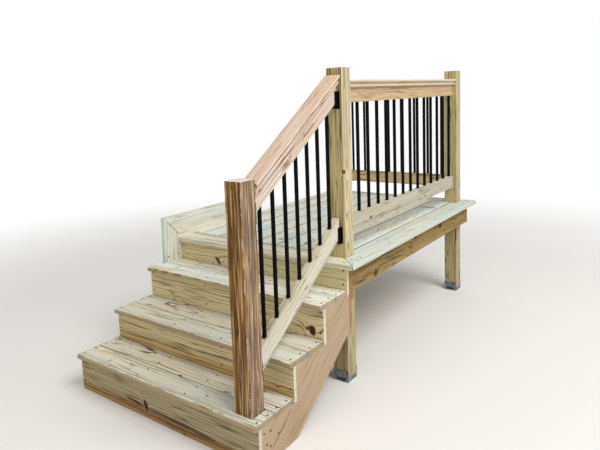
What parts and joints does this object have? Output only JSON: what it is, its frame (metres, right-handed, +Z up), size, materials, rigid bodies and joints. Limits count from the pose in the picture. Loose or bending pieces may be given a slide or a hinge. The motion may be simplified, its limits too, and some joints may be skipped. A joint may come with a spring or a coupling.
{
  "type": "deck stairs",
  "caption": "Closed-riser timber steps beside a wall, climbing to a small raised deck on posts, with round black balusters between timber rails",
  "frame": {"origin": "centre of the footprint's bounding box, on the ground the stairs and posts stand on", "axes": "+X away from the house wall, +Y the way one climbs, along the wall, +Z up"},
  "size_m": [1.258, 2.693, 1.657],
  "materials": {
    "stair_treads": "matt, pale greenish new pressure-treated pine",
    "riser_boards": "matt, greenish yellow pressure-treated pine",
    "deck_boards": "matt, pale greenish new pressure-treated pine",
    "frame_timber": "rough sawn, olive tan pressure-treated pine",
    "stringer_timber": "matt, tan pressure-treated pine",
    "post_timber": "rough sawn, olive yellow pressure-treated pine",
    "newel_timber": "rough sawn, brown streaked pressure-treated pine",
    "rail_timber": "planed, cream and honey pine",
    "baluster_metal": "satin black",
    "bracket_metal": "satin black",
    "base_metal": "galvanised, dull"
  },
  "bodies": {
    "root": {"tread_1": "stair_treads", "tread_2": "stair_treads", "tread_3": "stair_treads", "riser_1": "riser_boards", "riser_2": "riser_boards", "riser_3": "riser_boards", "riser_4": "riser_boards", "deck_front_board": "deck_boards", "deck_far_board": "deck_boards", "deck_edge_board": "deck_boards", "deck_field_boards": "deck_boards", "skirt_upright": "deck_boards", "skirt_long": "deck_boards", "front_header": "frame_timber", "inner_header": "frame_timber", "stringer_hanger": "frame_timber", "outer_rim": "frame_timber", "wall_rim": "frame_timber", "far_rim": "frame_timber", "joists": "frame_timber", "outer_stringer": "stringer_timber", "right_middle_stringer": "stringer_timber", "left_middle_stringer": "stringer_timber", "wall_stringer": "stringer_timber", "front_outer_post": "post_timber", "far_outer_post": "post_timber", "front_wall_post": "post_timber", "far_wall_post": "post_timber", "newel_post": "newel_timber", "deck_cap_rail": "rail_timber", "deck_top_rail": "rail_timber", "deck_bottom_rail": "rail_timber", "far_cap_rail": "rail_timber", "far_top_rail": "rail_timber", "far_bottom_rail": "rail_timber", "stair_cap_rail": "rail_timber", "stair_top_rail": "rail_timber", "stair_bottom_rail": "rail_timber", "deck_balusters": "baluster_metal", "far_balusters": "baluster_metal", "stair_balusters": "baluster_metal", "stair_rail_brackets": "bracket_metal", "post_bases": "base_metal"}
  },
  "joints": []
}
